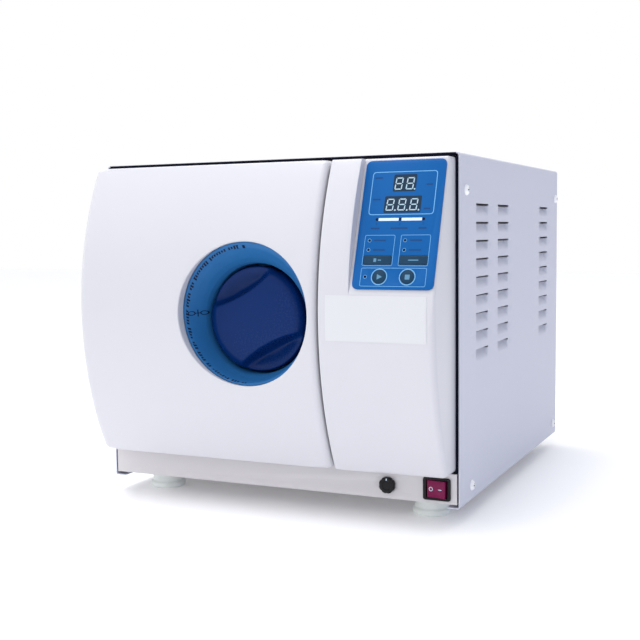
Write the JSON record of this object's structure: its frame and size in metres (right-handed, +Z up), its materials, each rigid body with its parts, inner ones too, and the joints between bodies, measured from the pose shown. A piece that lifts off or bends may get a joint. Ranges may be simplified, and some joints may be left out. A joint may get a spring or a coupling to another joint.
{
  "type": "benchtop autoclave",
  "caption": "Benchtop steam autoclave: louvred sheet case, round chamber with trays, bulging hinged door with a turning lock knob, and a control fascia.",
  "frame": {"origin": "middle of the footprint's bounding box, on the surface that the feet stand on", "axes": "+Z up, +Y from the door to the rear panel, +X to the right as seen from the front"},
  "size_m": [0.4526, 0.56, 0.4],
  "materials": {
    "cover_paint": "fine textured powder coat",
    "strip_paint": "satin powder coat",
    "white_plastic": "semi-gloss lacquered plastic",
    "bowl_blue": "satin moulded plastic",
    "knob_blue": "glossy moulded plastic",
    "black_plastic": "satin moulded plastic",
    "foot_plastic": "matt moulded plastic",
    "overlay_blue": "printed polyester film",
    "key_teal": "printed polyester film",
    "rocker_red": "translucent moulded plastic",
    "stainless": "polished stainless steel",
    "zinc": "zinc plated steel",
    "aluminium": "anodised",
    "silicone": "moulded silicone",
    "heater_rubber": "moulded silicone",
    "wool": "fibre blanket",
    "brass": "machined",
    "tank_plastic": "moulded polypropylene",
    "board": "solder mask"
  },
  "bodies": {
    "machine": {"cover": "cover_paint", "base_pan": "strip_paint", "rear_panel": "cover_paint", "front_plate": "zinc", "foot_front_left": "foot_plastic", "foot_front_right": "foot_plastic", "foot_rear_left": "foot_plastic", "foot_rear_right": "foot_plastic", "screw_left_1": "zinc", "screw_right_1": "zinc", "screw_left_2": "zinc", "screw_right_2": "zinc", "screw_left_3": "zinc", "screw_right_3": "zinc", "screw_left_4": "zinc", "screw_right_4": "zinc", "chamber": "stainless", "heater_band": "heater_rubber", "insulation_jacket": "wool", "tray_rack": "stainless", "tray_1": "aluminium", "tray_2": "aluminium", "tray_3": "aluminium", "hinge_bracket_lower": "zinc", "hinge_bracket_upper": "zinc", "hinge_pin": "stainless", "lock_keeper": "zinc", "control_fascia": "white_plastic", "membrane_overlay": "overlay_blue", "control_board": "board", "switch_housing": "black_plastic", "drain_valve": "brass", "water_tank": "tank_plastic", "fan_frame": "black_plastic", "power_inlet": "black_plastic", "safety_valve": "brass", "water_pump": "black_plastic", "solenoid_valve": "brass", "condenser": "aluminium"},
    "door": {"door_shell": "white_plastic", "door_bowl": "bowl_blue", "door_core_plate": "zinc", "pressure_plate": "stainless", "door_gasket": "silicone", "hinge_arm_lower": "zinc", "hinge_arm_upper": "zinc", "spindle_bush": "brass", "bar_guide": "zinc"},
    "knob": {"lock_knob": "knob_blue", "knob_spindle": "stainless", "cam_disc": "zinc"},
    "bar": {"lock_bar": "stainless"},
    "rocker": {"power_rocker": "rocker_red"},
    "start_key": {"key_start": "key_teal"},
    "stop_key": {"key_stop": "key_teal"},
    "program_key_1": {"key_program_1": "key_teal"},
    "program_key_2": {"key_program_2": "key_teal"},
    "drain_handle": {"drain_knob": "black_plastic"},
    "lid": {"tank_lid": "cover_paint"},
    "fan": {"fan_rotor": "black_plastic"}
  },
  "joints": [
    {"name": "door_swing", "type": "hinge", "parent": "machine", "child": "door", "pos_m": [-0.208, -0.231, 0.228], "axis": [0, 0, -1], "range_deg": [0, 105]},
    {"name": "knob_turn", "type": "hinge", "parent": "door", "child": "knob", "pos_m": [-0.004, -0.22, 0.2214], "axis": [0, 1, 0], "range_deg": [0, 90]},
    {"name": "bar_slide", "type": "slide", "parent": "door", "child": "bar", "axis": [1, 0, 0], "range_m": [0, 0.014]},
    {"name": "power_rock", "type": "hinge", "parent": "machine", "child": "rocker", "pos_m": [0.1971, -0.208, 0.0394], "axis": [0, 0, 1], "range_deg": [0, 12]},
    {"name": "start_press", "type": "slide", "parent": "machine", "child": "start_key", "axis": [0, 0.9429, -0.333], "range_m": [0, 0.0005], "stiffness_N_per_m": 800},
    {"name": "stop_press", "type": "slide", "parent": "machine", "child": "stop_key", "axis": [0, 0.9429, -0.333], "range_m": [0, 0.0005], "stiffness_N_per_m": 800},
    {"name": "program_1_press", "type": "slide", "parent": "machine", "child": "program_key_1", "axis": [0, 0.9429, -0.333], "range_m": [0, 0.0005], "stiffness_N_per_m": 800},
    {"name": "program_2_press", "type": "slide", "parent": "machine", "child": "program_key_2", "axis": [0, 0.9429, -0.333], "range_m": [0, 0.0005], "stiffness_N_per_m": 800},
    {"name": "drain_turn", "type": "hinge", "parent": "machine", "child": "drain_handle", "pos_m": [0.1402, -0.211, 0.039], "axis": [0, -1, 0], "range_deg": [0, 90]},
    {"name": "lid_lift", "type": "hinge", "parent": "machine", "child": "lid", "pos_m": [0.158, 0.1122, 0.4], "axis": [-1, 0, 0], "range_deg": [0, 100]},
    {"name": "fan_spin", "type": "hinge", "parent": "machine", "child": "fan", "pos_m": [0.16, 0.24, 0.15], "axis": [0, 1, 0], "continuous": true}
  ],
  "couplings": [
    {"joint": "bar_slide", "follows": "knob_turn", "m_per_rad": 0.0089126}
  ]
}
